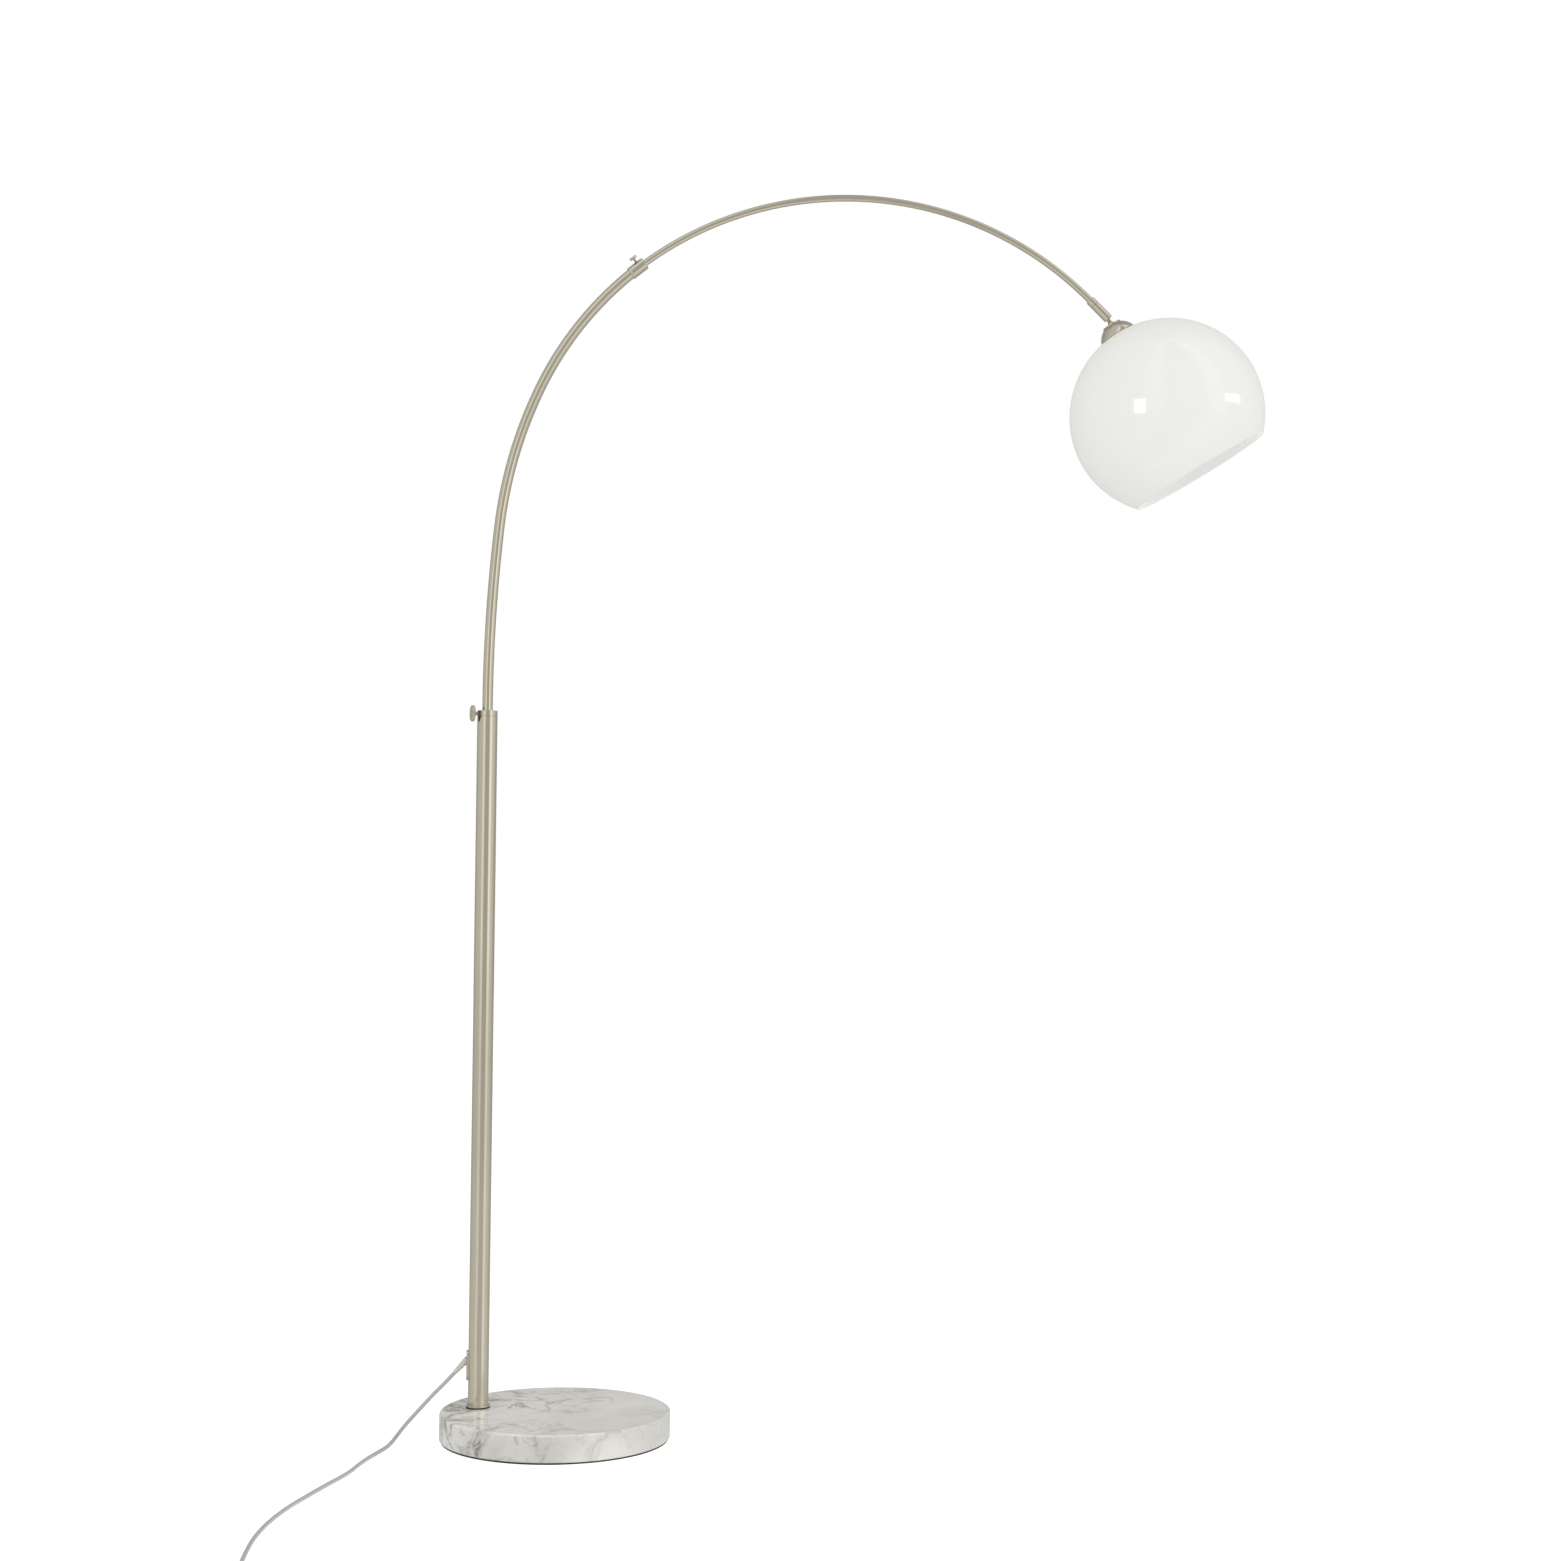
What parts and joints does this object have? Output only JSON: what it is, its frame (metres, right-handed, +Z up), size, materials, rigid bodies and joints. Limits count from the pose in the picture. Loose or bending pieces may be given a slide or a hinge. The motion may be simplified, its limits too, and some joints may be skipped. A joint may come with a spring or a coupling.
{
  "type": "arc floor lamp",
  "caption": "Floor lamp with a round stone base, straight pole, bowed telescopic arm and an open globe shade that swivels and tilts.",
  "frame": {"origin": "centre of the underside of the round base", "axes": "+Z up; +X the way the arm reaches, so the arm lies in a plane parallel to XZ; the pole stands near the base's -X edge"},
  "size_m": [1.23, 0.947, 1.6646],
  "materials": {
    "marble": "polished white-grey marble with grey-brown veins",
    "nickel": "warm satin nickel",
    "steel": "zinc-plated steel",
    "black_rubber": "matt",
    "nylon": "natural nylon",
    "brass": "turned",
    "opal": "opal acrylic, glossy",
    "cord_pvc": "pale translucent PVC",
    "holder": "white thermoplastic",
    "switch_plastic": "light grey",
    "bulb_frost": "frosted"
  },
  "bodies": {
    "stand": {"marble_base": "marble", "base_pad": "black_rubber", "base_bolt": "steel", "base_washer": "steel", "foot_plug": "steel", "foot_gasket": "black_rubber", "foot_ring": "nickel", "lower_pole": "nickel", "pole_coupler": "nickel", "upper_pole": "nickel", "pole_cap": "nickel", "pole_lead": "cord_pvc", "cord_outlet": "nickel", "cord_relief": "nylon", "mains_cord": "cord_pvc", "switch_cord": "cord_pvc", "cord_coil": "cord_pvc", "coil_tie": "black_rubber", "plug_cord": "cord_pvc", "plug_body": "switch_plastic", "plug_pins": "steel", "switch_base": "switch_plastic", "switch_cover": "switch_plastic", "switch_block": "switch_plastic", "switch_screws": "steel"},
    "button": {"switch_button": "switch_plastic"},
    "pole_pad_body": {"pole_pad": "brass"},
    "pole_knob_body": {"pole_screw": "steel", "pole_knob": "nickel"},
    "swivel": {"swivel_bush": "nylon"},
    "arm": {"lower_arc": "nickel", "tail_guide": "nylon", "arc_collar": "nickel", "collar_liner": "black_rubber", "lower_arc_lead": "cord_pvc"},
    "collar_pad_body": {"collar_pad": "brass"},
    "collar_knob_body": {"collar_screw": "steel", "collar_knob": "nickel"},
    "reach": {"upper_arc": "nickel", "inner_guide": "nylon", "end_ferrule": "nickel", "swivel_socket": "nickel", "upper_arc_lead": "cord_pvc"},
    "fork": {"swivel_fork": "steel", "tilt_pin": "steel"},
    "head": {"tilt_stem": "nickel", "cap_disc": "nickel", "shade_cap": "nickel", "cap_nipple": "steel", "cap_nut": "steel", "holder_cap": "holder", "holder_body": "holder", "holder_core": "holder", "shade_ring": "holder", "globe_shade": "opal", "bulb_screw_cap": "steel", "bulb_glass": "bulb_frost"}
  },
  "joints": [
    {"name": "switch_press", "type": "slide", "parent": "stand", "child": "button", "axis": [0, 0, -1], "range_m": [0, 0.003], "stiffness_N_per_m": 400},
    {"name": "pole_pad_travel", "type": "slide", "parent": "stand", "child": "pole_pad_body", "axis": [-0.9511, -0.309, 0], "range_m": [0, 0.002]},
    {"name": "pole_knob_turn", "type": "hinge", "parent": "pole_pad_body", "child": "pole_knob_body", "pos_m": [-0.10272, 0.01627, 0.9506], "axis": [-0.9511, -0.309, 0], "range_deg": [0, 720]},
    {"name": "arm_swivel", "type": "hinge", "parent": "stand", "child": "swivel", "pos_m": [-0.10272, 0.01627, 0.95], "axis": [0, 0, 1], "range_deg": [-170, 170]},
    {"name": "arm_height", "type": "slide", "parent": "swivel", "child": "arm", "axis": [0, 0, 1], "range_m": [0, 0.2]},
    {"name": "collar_pad_travel", "type": "slide", "parent": "arm", "child": "collar_pad_body", "axis": [-0.5968, -0.2588, 0.7595], "range_m": [0, 0.0014]},
    {"name": "collar_knob_turn", "type": "hinge", "parent": "collar_pad_body", "child": "collar_knob_body", "pos_m": [0.09543, 0.01627, 1.5616], "axis": [-0.5968, -0.2588, 0.7595], "range_deg": [0, 720]},
    {"name": "arm_reach", "type": "hinge", "parent": "arm", "child": "reach", "pos_m": [0.37963, 0.01627, 1.1999], "axis": [0, 1, 0], "range_deg": [-16, 3]},
    {"name": "shade_swivel", "type": "hinge", "parent": "reach", "child": "fork", "pos_m": [0.73158, 0.01627, 1.49792], "axis": [0.6992, 0, -0.715], "range_deg": [-170, 170]},
    {"name": "shade_tilt", "type": "hinge", "parent": "fork", "child": "head", "pos_m": [0.73158, 0.01627, 1.49792], "axis": [0, 1, 0], "range_deg": [-50, 24]}
  ],
  "couplings": [
    {"joint": "pole_pad_travel", "follows": "pole_knob_turn", "m_per_rad": 0.00015915},
    {"joint": "collar_pad_travel", "follows": "collar_knob_turn", "m_per_rad": 0.00011141}
  ]
}
